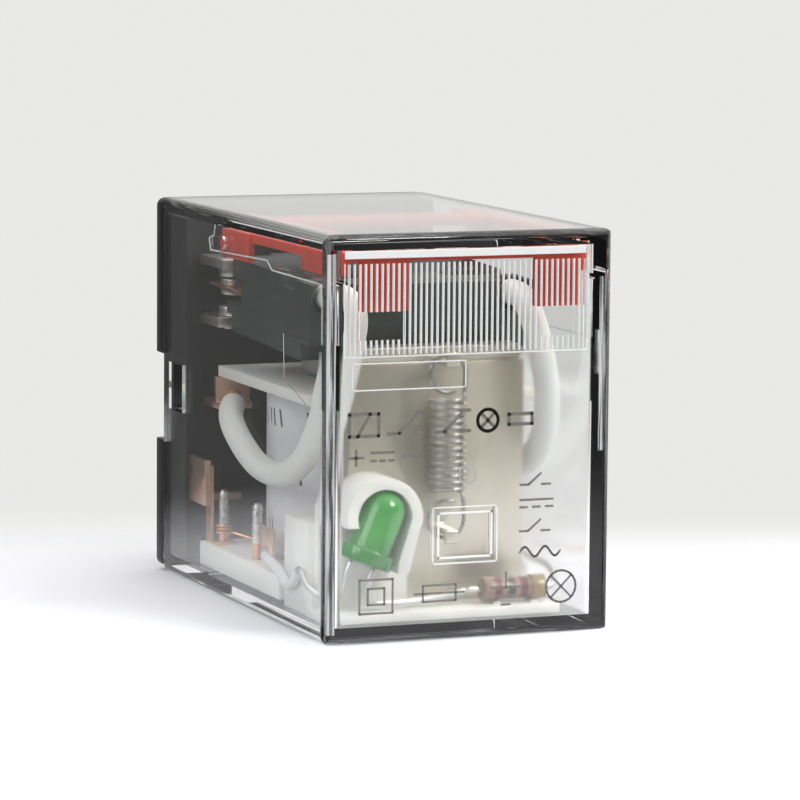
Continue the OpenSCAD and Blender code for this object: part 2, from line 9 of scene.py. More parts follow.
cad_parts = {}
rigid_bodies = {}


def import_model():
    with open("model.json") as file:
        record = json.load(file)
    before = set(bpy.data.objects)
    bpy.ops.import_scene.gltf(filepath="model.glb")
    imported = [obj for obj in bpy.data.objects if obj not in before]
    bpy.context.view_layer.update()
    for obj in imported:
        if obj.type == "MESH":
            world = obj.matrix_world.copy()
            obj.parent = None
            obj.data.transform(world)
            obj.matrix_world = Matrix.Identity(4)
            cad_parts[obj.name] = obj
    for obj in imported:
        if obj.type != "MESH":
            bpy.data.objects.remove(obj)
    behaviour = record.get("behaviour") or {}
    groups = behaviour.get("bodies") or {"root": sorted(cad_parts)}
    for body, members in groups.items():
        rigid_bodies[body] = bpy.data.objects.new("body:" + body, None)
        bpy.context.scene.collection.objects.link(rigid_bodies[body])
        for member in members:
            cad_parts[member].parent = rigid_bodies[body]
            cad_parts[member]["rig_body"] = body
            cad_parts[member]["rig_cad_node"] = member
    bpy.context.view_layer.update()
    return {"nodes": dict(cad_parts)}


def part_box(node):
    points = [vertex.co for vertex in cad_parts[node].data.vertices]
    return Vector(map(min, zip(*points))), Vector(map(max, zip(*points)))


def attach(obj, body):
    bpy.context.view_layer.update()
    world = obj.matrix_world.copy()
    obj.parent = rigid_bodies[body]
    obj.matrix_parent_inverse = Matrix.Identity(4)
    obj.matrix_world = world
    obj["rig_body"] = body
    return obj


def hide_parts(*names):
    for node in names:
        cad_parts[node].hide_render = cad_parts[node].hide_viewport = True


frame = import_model()
MM = 0.001


# ---- Base ----
# Black moulded base: flange, plug body, latch wedges and the barrier between the poles.
# Glass-filled nylon with a fine spark-eroded grain, snapped into the cover.


class Wire:
    """A shader socket. Arithmetic on it adds Math nodes, and node() adds any other node."""

    def __init__(self, tree, socket=None):
        self.tree = tree
        self.socket = socket

    def node(self, kind, settings, sockets, out=0):
        made = self.tree.nodes.new(kind)
        for name, value in settings.items():
            if name == "stops":
                fill_ramp(made.color_ramp, value)
            else:
                setattr(made, name, value)
        for key, value in sockets.items():
            if isinstance(value, Wire):
                self.tree.links.new(value.socket, made.inputs[key])
            else:
                made.inputs[key].default_value = value
        return Wire(self.tree, made.outputs[out])

    def math(self, operation, first, second=0.0, third=0.0):
        return self.node("ShaderNodeMath", {"operation": operation}, {0: first, 1: second, 2: third})

    def __add__(self, other):
        return self.math("ADD", self, other)

    def __radd__(self, other):
        return self.math("ADD", other, self)

    def __sub__(self, other):
        return self.math("SUBTRACT", self, other)

    def __rsub__(self, other):
        return self.math("SUBTRACT", other, self)

    def __mul__(self, other):
        return self.math("MULTIPLY", self, other)

    def __rmul__(self, other):
        return self.math("MULTIPLY", other, self)

    def __truediv__(self, other):
        return self.math("DIVIDE", self, other)

    def __gt__(self, other):
        return self.math("GREATER_THAN", self, other)

    def __lt__(self, other):
        return self.math("LESS_THAN", self, other)


def fill_ramp(ramp, stops):
    """Gives a ramp its stops, each (position, grey level or colour)."""
    while len(ramp.elements) > 1:
        ramp.elements.remove(ramp.elements[-1])
    for index, (position, level) in enumerate(stops):
        stop = ramp.elements[0] if index == 0 else ramp.elements.new(position)
        stop.position = position
        colour = (level, level, level) if isinstance(level, float) else level
        stop.color = (*colour, 1.0)


class Finish:
    """A new material with a Principled shader, and the noises and places it varies by."""

    def __init__(self, name, **constants):
        self.material = bpy.data.materials.new(name)
        self.material.use_nodes = True
        self.shader = self.material.node_tree.nodes["Principled BSDF"]
        self.start = Wire(self.material.node_tree)
        for socket, value in constants.items():
            self.shader.inputs[socket.replace("_", " ")].default_value = value
        coordinates = self.start.node("ShaderNodeTexCoord", {}, {}, "Object")
        self.place = coordinates.node(
            "ShaderNodeVectorMath", {"operation": "SCALE"}, {0: coordinates, "Scale": 1000}
        )
        split = self.place.node("ShaderNodeSeparateXYZ", {}, {0: self.place})
        outputs = split.socket.node.outputs
        self.x, self.y, self.z = (Wire(split.tree, outputs[axis]) for axis in "XYZ")

    def node(self, kind, settings, sockets, out=0):
        return self.start.node(kind, settings, sockets, out)

    def noise(self, per_mm, detail=2.0, squash=(1, 1, 1)):
        """Noise with that many features in a millimetre, stretched by squash."""
        place = self.place.node("ShaderNodeVectorMath", {"operation": "MULTIPLY"}, {0: self.place, 1: squash})
        return self.place.node("ShaderNodeTexNoise", {}, {"Vector": place, "Scale": per_mm, "Detail": detail})

    def mix(self, factor, one, two):
        colours = [c if isinstance(c, Wire) else (*c, 1.0) for c in (one, two)]
        return self.start.node(
            "ShaderNodeMix", {"data_type": "RGBA"}, {0: factor, 6: colours[0], 7: colours[1]}, 2
        )

    def bump(self, height, depth_mm, strength=1.0):
        """Sets the normal from a height that goes from 0 to 1 over depth_mm."""
        normal = height.node(
            "ShaderNodeBump", {}, {"Height": height, "Distance": depth_mm * MM, "Strength": strength}
        )
        self.link("Normal", normal)

    def link(self, socket, wire):
        self.material.node_tree.links.new(wire.socket, self.shader.inputs[socket])


def deselect():
    """Leaves object mode with nothing selected."""
    bpy.ops.object.select_all(action="DESELECT")


def hold(piece):
    """Selects one piece and makes it the active one."""
    deselect()
    piece.select_set(True)
    bpy.context.view_layer.objects.active = piece


def copy_of(node, name):
    """A merged copy of a CAD node's mesh, with its flat faces made whole again."""
    piece = frame["nodes"][node].copy()
    piece.data = piece.data.copy()
    piece.name = name
    piece.parent = None
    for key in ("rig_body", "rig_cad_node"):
        del piece[key]
    bpy.context.scene.collection.objects.link(piece)
    hold(piece)
    bpy.ops.object.mode_set(mode="EDIT")
    bpy.ops.mesh.select_all(action="SELECT")
    bpy.ops.mesh.remove_doubles(threshold=1e-6)
    bpy.ops.object.mode_set(mode="OBJECT")
    piece.data.materials.clear()
    return piece


def apply_all(piece):
    """Applies every modifier of a piece in order."""
    hold(piece)
    for name in [modifier.name for modifier in piece.modifiers]:
        bpy.ops.object.modifier_apply(modifier=name)


def moulded(node, body, radius_mm, finish, angle=35):
    """The shape of a CAD node with rounded edges, as it leaves a mould or a press."""
    piece = copy_of(node, "fine_" + node)
    bpy.ops.object.mode_set(mode="EDIT")
    bpy.ops.mesh.select_all(action="SELECT")
    bpy.ops.mesh.dissolve_limited(angle_limit=math.radians(1))
    bpy.ops.object.mode_set(mode="OBJECT")
    edge = piece.modifiers.new("edge", "BEVEL")
    edge.width = radius_mm * MM
    edge.segments = 2
    edge.limit_method = "ANGLE"
    edge.angle_limit = math.radians(angle)
    edge.use_clamp_overlap = True
    apply_all(piece)
    bpy.ops.object.shade_smooth_by_angle(angle=math.radians(40))
    piece.data.materials.append(finish.material)
    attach(piece, body)
    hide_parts(node)
    return piece


black_nylon = Finish("black_nylon", IOR=1.45, Specular_IOR_Level=0.35)
grain = black_nylon.noise(9.0, 3.0)
black_nylon.link("Base Color", black_nylon.mix(grain, (0.006, 0.006, 0.007), (0.013, 0.013, 0.014)))
black_nylon.link("Roughness", 0.3 + grain * 0.2)
black_nylon.bump(grain, 0.01, 0.35)
moulded("base", "housing", 0.12, black_nylon)


# ---- Magnet system ----
# Bent yoke and hinged armature of zinc-plated steel sheet, turned iron core with its pole
# disc. The plating is satin and a little cloudy, with faint rolling lines along the sheet.


def zinc(name, colour, rough, lines):
    """Zinc-plated steel with rolling lines along one axis."""
    metal = Finish(name, Metallic=1.0)
    cloud = metal.noise(0.6, 3.0)
    rolled = metal.noise(7.0, 2.0, lines)
    metal.link("Base Color", metal.mix(cloud, colour, tuple(0.86 * c for c in colour)))
    metal.link("Roughness", rough + cloud * 0.1 + rolled * 0.08)
    metal.bump(rolled, 0.006, 0.3)
    return metal


sheet_steel = zinc("sheet_steel", (0.68, 0.65, 0.54), 0.3, (1, 0.05, 0.05))
moulded("yoke", "housing", 0.12, sheet_steel)
moulded("armature", "armature", 0.08, sheet_steel)
core_iron = zinc("core_iron", (0.58, 0.58, 0.57), 0.24, (0.1, 0.1, 1))
moulded("core", "housing", 0.15, core_iron)


# ---- Coil ----
# White moulded bobbin, enamelled copper winding, pale tape around it with grey ink strokes
# and four pins, dipped in solder at the top.

white_moulding = Finish("white_moulding", Subsurface_Weight=0.15, Subsurface_Scale=0.0006)
mottle = white_moulding.noise(0.8, 3.0)
white_moulding.link("Base Color", white_moulding.mix(mottle, (0.83, 0.82, 0.78), (0.74, 0.73, 0.69)))
white_moulding.link("Roughness", 0.34 + mottle * 0.14)
white_moulding.bump(white_moulding.noise(6.0, 2.0), 0.008, 0.25)
moulded("coil_bobbin", "housing", 0.15, white_moulding)

enamel = Finish("enamelled_turns", Metallic=1.0, Roughness=0.3)
# Painted highlight and shade: each turn is bright copper on its crown and dark brown in the crease to the
# next turn.
turn_pitch = 0.14
turns = enamel.z.math("PINGPONG", enamel.z, turn_pitch / 2)
enamel.link("Base Color", enamel.mix(turns / turn_pitch * 2, (0.28, 0.1, 0.04), (0.72, 0.3, 0.13)))
enamel.bump(turns / turn_pitch * 2, 0.04)
moulded("coil_winding", "housing", 0.1, enamel)

tape = Finish("coil_tape", Coat_Weight=0.25, Coat_Roughness=0.2)
tape_low, tape_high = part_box("coil_tape")
axis_x = (tape_low.x + tape_high.x) / 2 / MM
axis_y = (tape_low.y + tape_high.y) / 2 / MM
around = tape.start.math("ARCTAN2", tape.y - axis_y, tape.x - axis_x)
arc = around * ((tape_high.x - tape_low.x) / 2 / MM)


def strokes(row_z, pitch, duty, shift):
    """Plain slanting strokes in short groups, in one row around the tape."""
    in_row = tape.start.math("COMPARE", tape.z, row_z, 0.62)
    lean = arc + (tape.z - row_z) * 0.2 + shift
    stroke = tape.start.math("PINGPONG", lean, pitch / 2) < pitch * duty / 2
    group = tape.start.math("PINGPONG", arc + 2.0 * row_z, 2.9) < 2.2
    return in_row * stroke * group


print_mask = strokes(13.3, 0.95, 0.24, 0.3) + strokes(9.3, 1.15, 0.2, 0.0) + strokes(5.3, 0.95, 0.24, 0.6)
wrap = tape.noise(1.2, 2.0, (1, 1, 0.3))
paper = tape.mix(wrap, (0.82, 0.81, 0.83), (0.74, 0.73, 0.76))
tape.link("Base Color", tape.mix(tape.start.math("MINIMUM", print_mask, 1.0), paper, (0.07, 0.065, 0.07)))
tape.link("Roughness", 0.3 + wrap * 0.2)
tape.bump(wrap, 0.05, 0.4)
moulded("coil_tape", "housing", 0.05, tape)

dipped_pin = Finish("dipped_pin", Metallic=1.0)
pin_low, pin_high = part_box("coil_pins")
dip_line = (pin_low.z * 0.55 + pin_high.z * 0.45) / MM
lumps = dipped_pin.noise(3.0, 3.0)
solder = dipped_pin.z + lumps * 0.8 > dip_line + 0.4
dipped_pin.link("Base Color", dipped_pin.mix(solder, (0.72, 0.36, 0.2), (0.72, 0.71, 0.68)))
dipped_pin.link("Roughness", 0.2 + lumps * 0.25)
dipped_pin.bump(lumps, 0.08)
moulded("coil_pins", "housing", 0.12, dipped_pin)


# Each pin's upper half carries a lumpy coat of solder, drawn out to a blunt tip.

solder_metal = Finish("solder_metal", Metallic=1.0)
crust = solder_metal.noise(4.0, 4.0)
solder_metal.link("Base Color", solder_metal.mix(crust, (0.88, 0.88, 0.87), (0.2, 0.19, 0.18)))
solder_metal.link("Roughness", 0.18 + crust * 0.3)
solder_metal.bump(crust, 0.16)
solder_lumps = bpy.data.textures.new("solder_lumps", "CLOUDS")
solder_lumps.noise_scale = 0.0005


def settle(piece, body):
    """Puts the piece's place in its mesh and lets it ride on a body."""
    hold(piece)
    bpy.ops.object.transform_apply(location=True, rotation=True, scale=True)
    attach(piece, body)
    return piece


pin_r = 0.35 * MM
coat_r, coat_half, blunt_half = 0.36 * MM, 1.25 * MM, 1.3 * MM
for index, (x, y) in enumerate((x, y) for x in (pin_low.x + pin_r, pin_high.x - pin_r)
                               for y in (pin_low.y + pin_r, pin_high.y - pin_r)):
    deselect()
    bpy.ops.mesh.primitive_uv_sphere_add(
        segments=32, ring_count=24, radius=1.0, location=(x, y, pin_high.z - 1.15 * MM)
    )
    blob = bpy.context.active_object
    blob.name = f"solder_blob_{index + 1}"
    blob.scale = (coat_r, coat_r, coat_half)
    bpy.ops.object.transform_apply(location=False, rotation=False, scale=True)
    for vertex in blob.data.vertices:
        swell = 1.0 - abs(vertex.co.z / blunt_half) ** 6
        around_pin = Vector((vertex.co.x, vertex.co.y, 0))
        if around_pin.length > 1e-9:
            around_pin.normalize()
            vertex.co.x = around_pin.x * coat_r * swell ** 0.5
            vertex.co.y = around_pin.y * coat_r * swell ** 0.5
    lumpy = blob.modifiers.new("lumps", "DISPLACE")
    lumpy.texture = solder_lumps
    lumpy.texture_coords = "OBJECT"
    lumpy.texture_coords_object = None
    lumpy.strength = 0.16 * MM
    apply_all(blob)
    bpy.ops.object.shade_smooth()
    blob.data.materials.append(solder_metal.material)
    settle(blob, "housing")


# ---- Straps, tabs and terminals ----
# Stamped copper-alloy strip, pinkish and satin, with lighter sheared edges. The blades
# outside the base are tin plated.


def copper_strip(name, colour):
    """Rolled copper alloy with stains and fine lines."""
    metal = Finish(name, Metallic=1.0)
    stain = metal.noise(1.0, 4.0)
    lines = metal.noise(8.0, 2.0, (1, 0.06, 1))
    metal.link("Base Color", metal.mix(stain, colour, tuple(0.75 * c for c in colour)))
    metal.link("Roughness", 0.22 + stain * 0.2 + lines * 0.06)
    metal.bump(lines, 0.005, 0.4)
    return metal


strip_copper = copper_strip("strip_copper", (0.86, 0.55, 0.38))
for side in ("left", "right"):
    moulded(f"coil_strap_{side}", "housing", 0.05, strip_copper)
    moulded(f"led_tab_{side}", "housing", 0.04, strip_copper)

blade_metal = Finish("blade_metal", Metallic=1.0)
flange_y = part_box("base")[1].y / MM
cloudy = blade_metal.noise(0.9, 4.0)
plated = blade_metal.y + cloudy * 0.6 > flange_y - 0.6
copper = blade_metal.mix(cloudy, (0.86, 0.6, 0.47), (0.7, 0.46, 0.34))
silvered = blade_metal.mix(cloudy, (0.82, 0.76, 0.72), (0.62, 0.56, 0.52))
bare = blade_metal.mix(blade_metal.z > 16.5, copper, silvered)
tin = blade_metal.mix(cloudy, (0.75, 0.74, 0.71), (0.62, 0.61, 0.59))
blade_metal.link("Base Color", blade_metal.mix(plated, bare, tin))
blade_metal.link("Roughness", 0.2 + cloudy * 0.22)
blade_metal.bump(blade_metal.noise(8.0, 2.0, (1, 0.06, 1)), 0.005, 0.4)
for side in ("left", "right"):
    for row in ("nc", "no", "com", "coil"):
        moulded(f"{row}_terminal_{side}", "housing", 0.05, blade_metal)


# A small shiny weld spot shows on the outside of each coil terminal, over the strap.

for side, sign in (("left", -1), ("right", 1)):
    weld_low, weld_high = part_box(f"coil_terminal_{side}")
    face_x = weld_low.x if sign < 0 else weld_high.x
    strap_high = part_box(f"coil_strap_{side}")[1]
    deselect()
    bpy.ops.mesh.primitive_uv_sphere_add(segments=32, ring_count=16, radius=0.38 * MM,
        location=(face_x, strap_high.y - 0.6 * MM, strap_high.z - 1.2 * MM))
    spot = bpy.context.active_object
    spot.name = f"weld_spot_{side}"
    spot.scale = (0.2, 1.0, 1.0)
    bpy.ops.object.shade_smooth()
    spot.data.materials.append(strip_copper.material)
    settle(spot, "housing")


# ---- Contact springs and rivets ----
# Thin copper-alloy leaf springs carried by the contact block, and silver-alloy rivets.

silver = Finish("contact_silver", Metallic=1.0)
tarnish = silver.noise(2.5, 4.0)
silver.link("Base Color", silver.mix(tarnish, (0.6, 0.59, 0.56), (0.38, 0.36, 0.33)))
silver.link("Roughness", 0.22 + tarnish * 0.25)
silver.bump(tarnish, 0.02, 0.5)
for side in ("left", "right"):
    moulded(f"moving_spring_{side}", "armature", 0.03, strip_copper)
    moulded(f"moving_contact_{side}", "armature", 0.12, silver)
    moulded(f"nc_contact_{side}", "housing", 0.12, silver)
    moulded(f"no_contact_{side}", "housing", 0.12, silver)

block_resin = Finish("block_resin", IOR=1.55)
speck = block_resin.noise(2.2, 4.0)
block_resin.link("Base Color", block_resin.mix(speck, (0.018, 0.026, 0.024), (0.034, 0.045, 0.042)))
block_resin.link("Roughness", 0.34 + speck * 0.22)
block_resin.bump(block_resin.noise(7.0, 3.0), 0.012, 0.4)
moulded("contact_block", "armature", 0.15, block_resin)


# ---- Springs, leads and sleeves ----
# Round wire and soft tubing: the spring of drawn steel, stranded copper leads in white
# silicone tubing, tinned lamp leads, one of them in a translucent tube.


def rounded(node, body, finish, levels=2):
    """The swept CAD shape of a wire or tube, subdivided until it is round."""
    piece = copy_of(node, "round_" + node)
    bpy.ops.object.mode_set(mode="EDIT")
    bpy.ops.mesh.select_all(action="SELECT")
    bpy.ops.mesh.tris_convert_to_quads(face_threshold=math.radians(60), shape_threshold=math.radians(60))
    bpy.ops.object.mode_set(mode="OBJECT")
    smooth = piece.modifiers.new("round", "SUBSURF")
    smooth.levels = levels
    smooth.render_levels = levels
    apply_all(piece)
    bpy.ops.object.shade_smooth()
    piece.data.materials.append(finish.material)
    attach(piece, body)
    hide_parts(node)
    return piece


spring_steel = Finish("spring_steel", Metallic=1.0)
drawn = spring_steel.noise(5.0, 3.0)
spring_steel.link("Base Color", spring_steel.mix(drawn, (0.46, 0.45, 0.43), (0.3, 0.29, 0.28)))
spring_steel.link("Roughness", 0.2 + drawn * 0.2)
rounded("return_spring", "housing", spring_steel)

silicone = Finish("white_silicone", Subsurface_Weight=0.3, Subsurface_Scale=0.0008, Sheen_Weight=0.1)
cloudy_tube = silicone.noise(0.7, 2.0)
silicone.link("Base Color", silicone.mix(cloudy_tube, (0.86, 0.85, 0.82), (0.79, 0.78, 0.74)))
silicone.link("Roughness", 0.38 + cloudy_tube * 0.12)
silicone.bump(silicone.noise(4.0, 2.0), 0.01, 0.2)

braid = Finish("copper_strands", Metallic=1.0, Roughness=0.35)
strand = braid.noise(9.0, 2.0, (1, 0.35, 0.35))
braid.link("Base Color", braid.mix(strand, (0.45, 0.2, 0.1), (0.85, 0.48, 0.3)))
braid.bump(strand, 0.06)
for side in ("left", "right"):
    rounded(f"lead_sleeve_{side}", "housing", silicone)
    rounded(f"lead_braid_{side}", "housing", braid, 1)

fine_wire = Finish("fine_wire", Metallic=1.0, Roughness=0.3)
twist = fine_wire.noise(6.0, 2.0)
fine_wire.link("Base Color", fine_wire.mix(twist, (0.66, 0.25, 0.1), (0.9, 0.48, 0.26)))
rounded("coil_wire_ends", "housing", fine_wire, 1)

tinned = Finish("tinned_wire", Metallic=1.0)
dull = tinned.noise(2.0, 3.0)
tinned.link("Base Color", tinned.mix(dull, (0.74, 0.74, 0.72), (0.58, 0.58, 0.57)))
tinned.link("Roughness", 0.22 + dull * 0.2)
rounded("led_leads", "housing", tinned)
rounded("resistor_leads", "housing", tinned)

tubing = Finish("translucent_tubing", Roughness=0.3, Transmission_Weight=0.35, IOR=1.4)
haze = tubing.noise(1.5, 2.0)
tubing.link("Base Color", tubing.mix(haze, (0.93, 0.93, 0.92), (0.84, 0.85, 0.85)))
rounded("led_lead_sleeve", "housing", tubing)


# ---- Lamp, holder and resistor ----
# 3 mm green lamp in clear green resin, leaning in a white moulded holder, and the series
# resistor on the holder's floor strip with its colour bands.

moulded("led_holder", "housing", 0.18, white_moulding)

green_resin = Finish("green_resin", Roughness=0.12, Coat_Weight=0.6, Coat_Roughness=0.04, IOR=1.5,
    Subsurface_Weight=0.25, Subsurface_Scale=0.0006)
lamp_low, lamp_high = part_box("led")
# Painted light and shade: the resin is coloured near black-green at the lamp's foot and a lighter green
# toward the dome.
glow = green_resin.noise(0.5, 2.0)
dome = (green_resin.z - lamp_low.z / MM) / ((lamp_high.z - lamp_low.z) / MM)
resin_tone = green_resin.node("ShaderNodeValToRGB", {"stops": [
    (0.0, (0.01, 0.14, 0.02)), (0.25, (0.02, 0.2, 0.025)),
    (0.5, (0.05, 0.3, 0.05)), (1.0, (0.04, 0.3, 0.05))]},
    {"Fac": dome + glow * 0.12 - 0.06})
green_resin.link("Base Color", resin_tone)
moulded("led", "housing", 0.08, green_resin, 60)

lacquer = Finish("resistor_lacquer", Coat_Weight=0.4, Coat_Roughness=0.15)
body_low, body_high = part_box("resistor")
along = (lacquer.x - body_low.x / MM) / ((body_high.x - body_low.x) / MM)
bands = lacquer.start.node("ShaderNodeValToRGB", {"stops": [
    (0.0, (0.24, 0.16, 0.11)), (0.14, (0.24, 0.16, 0.11)), (0.15, (0.13, 0.02, 0.02)),
    (0.28, (0.24, 0.16, 0.11)), (0.38, (0.03, 0.015, 0.012)), (0.5, (0.24, 0.16, 0.11)),
    (0.58, (0.12, 0.02, 0.02)), (0.7, (0.24, 0.16, 0.11)), (0.84, (0.28, 0.2, 0.06)),
    (0.94, (0.24, 0.16, 0.11))]}, {"Fac": along})
bands.socket.node.color_ramp.interpolation = "CONSTANT"
lacquer.link("Base Color", bands)
lacquer.link("Roughness", 0.3 + lacquer.noise(3.0) * 0.2)
moulded("resistor", "housing", 0.2, lacquer)


# ---- Red indicator lever ----
# Translucent red moulding: side arms, cross bars and the two flags behind the windows.

red_resin = Finish("red_resin", IOR=1.5, Subsurface_Weight=0.4, Subsurface_Scale=0.0008)
tint = red_resin.noise(0.8, 2.0)
red_resin.link("Base Color", red_resin.mix(tint, (0.62, 0.075, 0.04), (0.5, 0.05, 0.03)))
red_resin.link("Roughness", 0.26 + tint * 0.14)
red_resin.bump(red_resin.noise(5.0), 0.01, 0.2)
moulded("indicator_lever", "indicator", 0.08, red_resin)


# ---- Clear cover ----
# Polycarbonate cover. The label wall is faintly matt, apart from the ribbed band, its two
# windows and the framed lens. Light passes through it to the parts inside.

clear = Finish("clear_polycarbonate", Transmission_Weight=1.0, IOR=1.58)
case_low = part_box("case")[0]
clear.link("Base Color", clear.mix(clear.noise(0.4), (1.0, 1.0, 1.0), (0.97, 0.98, 0.98)))
matt = (clear.z < 19.9) * (clear.y < case_low.y / MM + 1.2) * (clear.z > 1.2)
lens = clear.start.math("COMPARE", clear.x, -0.25, 1.95) * clear.start.math("COMPARE", clear.z, 7.18, 1.52)
clear.link("Roughness", matt * (1 - lens) * 0.13)
output = clear.material.node_tree.nodes["Material Output"]
rays = clear.start.node("ShaderNodeLightPath", {}, {}, "Is Shadow Ray")
diffuse = Wire(rays.tree, rays.socket.node.outputs["Is Diffuse Ray"])
passing = clear.start.math("MAXIMUM", rays, diffuse)
shell_out = Wire(rays.tree, clear.shader.outputs[0])
through = clear.start.node("ShaderNodeBsdfTransparent", {}, {"Color": (0.95, 0.96, 0.96, 1.0)})
surface = clear.start.node("ShaderNodeMixShader", {}, {0: passing, 1: shell_out, 2: through})
clear.material.node_tree.links.new(surface.socket, output.inputs["Surface"])

cover = copy_of("case", "clear_cover")
bpy.ops.object.shade_flat()
cover.data.materials.append(clear.material)
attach(cover, "housing")
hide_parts("case")


# ---- Ribs and light edges of the cover ----
# The grooves of the ribbed band, the sloped edge above it and the steps along the side walls
# are pale strips inside the clear wall: painted highlights for the light they catch, so they stand out white
# against the clear wall.

# Painted highlight: a pale matt colour stands in for the light that the clear grooves and edges reflect.
groove_highlight = Finish("painted_groove_highlight", IOR=1.5)
highlight_mottle = groove_highlight.noise(5.0, 2.0)
groove_highlight.link("Base Color", groove_highlight.mix(highlight_mottle, (0.8, 0.8, 0.8), (0.68, 0.68, 0.68)))
groove_highlight.link("Roughness", 0.4 + highlight_mottle * 0.2)
groove_highlight.bump(highlight_mottle, 0.01, 0.3)
face = case_low.y / MM
inner = face + 1.0
rib_low, rib_high, rib_step, rib_half = 19.6, 25.75, 0.4, 0.095
rib_height, rib_first, rib_last = 0.115, -8.565, 8.5
clear_panes = ((-7.75, -4.85, 20.6, 22.5), (5.2, 7.85, 20.5, 22.5))

deselect()
bpy.ops.mesh.primitive_cylinder_add(vertices=3, radius=1.0, depth=1.0, location=(0, 0, 0))
wedge = bpy.context.active_object
wedge.name = "rib_edges"
wedge.data.transform(Matrix.Rotation(math.pi, 4, "Z"))
low_corner = min(v.co.y for v in wedge.data.vertices)
tall = max(v.co.y for v in wedge.data.vertices) - low_corner
wide = max(v.co.x for v in wedge.data.vertices) * 2
wedge.data.transform(Matrix.Diagonal((2 * rib_half / wide, rib_height / tall, 1, 1)))


def rib_spans(x):
    """The heights over which the groove at x runs, with a gap behind a clear pane."""
    for pane in clear_panes:
        if pane[0] - rib_half < x < pane[1] + rib_half:
            return ((rib_low, pane[2]), (pane[3], rib_high))
    return ((rib_low, rib_high),)


low_y = min(v.co.y for v in wedge.data.vertices)
copies = []
x = rib_first
while x < rib_last:
    for start, end in rib_spans(x):
        twin = wedge.copy()
        twin.data = wedge.data.copy()
        bpy.context.scene.collection.objects.link(twin)
        middle = (x * MM, (inner - 0.11 - low_y) * MM, (start + end) / 2 * MM)
        twin.data.transform(Matrix.Translation(middle) @ Matrix.Diagonal((MM, MM, (end - start) * MM, 1)))
        copies.append(twin)
    x += rib_step
bpy.data.objects.remove(wedge)
deselect()
for twin in copies:
    twin.select_set(True)
bpy.context.view_layer.objects.active = copies[0]
bpy.ops.object.join()
ribs = bpy.context.active_object
ribs.name = "rib_edges"
ribs.data.materials.append(groove_highlight.material)
settle(ribs, "housing")


def bar(name, x_span, y_span, z_span, finish, round_mm=0.03):
    """A thin bar between two corners in millimetres, with rounded edges."""
    deselect()
    middle = [(a + b) / 2 * MM for a, b in (x_span, y_span, z_span)]
    bpy.ops.mesh.primitive_cube_add(size=1.0, location=middle)
    piece = bpy.context.active_object
    piece.name = name
    piece.scale = [(b - a) * MM for a, b in (x_span, y_span, z_span)]
    bpy.ops.object.transform_apply(location=False, rotation=False, scale=True)
    rounding = piece.modifiers.new("edge", "BEVEL")
    rounding.width = round_mm * MM
    rounding.segments = 2
    apply_all(piece)
    piece.data.materials.append(finish.material)
    return piece


# Painted highlight: the strip under the top edge and the lines at the band's foot and sides are near-white
# colour for light caught on the moulded edges.
painted_edge_highlight = Finish("painted_edge_highlight", IOR=1.5, Coat_Weight=0.3)
sheen_noise = painted_edge_highlight.noise(2.0, 2.0)
painted_edge_highlight.link("Base Color", painted_edge_highlight.mix(sheen_noise, (0.95, 0.95, 0.96), (0.9, 0.9, 0.9)))
painted_edge_highlight.link("Roughness", 0.3 + sheen_noise * 0.1)
settle(bar("highlight_strip", (-8.85, 8.75), (inner + 0.01, inner + 0.09), (26.1, 26.62), painted_edge_highlight),
       "housing")
for name, x_span, z_span in (
    ("band_foot", (-8.85, 8.9), (19.42, 19.52)),
    ("band_side_left", (-8.9, -8.82), (19.45, 25.8)),
    ("band_side_right", (8.85, 8.93), (19.45, 25.8)),
):
    line = bar(name, x_span, (inner + 0.01, inner + 0.06), z_span, painted_edge_highlight, 0.02)
    settle(line, "housing")


def ease(value, start, end, low, high):
    """A smooth step of a wire from low to high, between start and end."""
    return value.node("ShaderNodeMapRange", {"interpolation_type": "SMOOTHSTEP"},
        {0: value, 1: start, 2: end, 3: low, 4: high})


# Painted highlight: grey-white streaks in the front corners of the wall stand in for light carried along the
# moulded corner edges.
corner_streak_paint = Finish("painted_corner_streaks", IOR=1.5, Roughness=0.4)
painted_streaks = corner_streak_paint.noise(8.0, 2.0, (1, 0.01, 0.02))
corner_streak_paint.link("Base Color", corner_streak_paint.mix(painted_streaks, (0.9, 0.9, 0.91), (0.35, 0.35, 0.36)))
corner_streak_paint.link("Alpha", ease(painted_streaks, 0.4, 0.62, 0.75, 0.05))
for side, x_span, z_span in (("left", (-10.1, -9.6), (0.7, 26.5)), ("right", (9.65, 10.1), (12.5, 24.5))):
    settle(bar(f"corner_highlight_{side}", x_span, (face + 0.45, face + 0.52), z_span, corner_streak_paint),
           "housing")
# The steps along both side walls are thin bars in the same painted-highlight colour.
step_line = [(1.05, 24.35), (11.4, 24.45), (12.4, 25.05), (24.4, 24.75),
             (24.7, 25.6), (23.7, 25.85), (23.4, 26.6)]
for side, sign in (("left", -1), ("right", 1)):
    runs = []
    for (y0, z0), (y1, z1) in zip(step_line, step_line[1:]):
        length = math.hypot(y1 - y0, z1 - z0)
        piece = bar("run", (-0.03, 0.03), (-0.02, length + 0.02), (-0.05, 0.05), groove_highlight, 0.015)
        bpy.ops.object.transform_apply(location=True)
        turn = Matrix.Rotation(math.atan2(z1 - z0, y1 - y0), 4, "X")
        piece.data.transform(Matrix.Translation((sign * 9.36 * MM, (face + y0) * MM, z0 * MM)) @ turn)
        runs.append(piece)
    deselect()
    for piece in runs:
        piece.select_set(True)
    bpy.context.view_layer.objects.active = runs[0]
    bpy.ops.object.join()
    runs[0].name = f"wall_step_{side}"
    settle(runs[0], "housing")


# ---- Marks on the label wall ----
# Generic circuit symbols in brown-grey ink just under the outer skin of the wall, with a
# plain raised plate outline, a gate mark and the lens frame drawn as pale lines, painted highlights for the
# light on these clear reliefs. They hold no words or numbers.

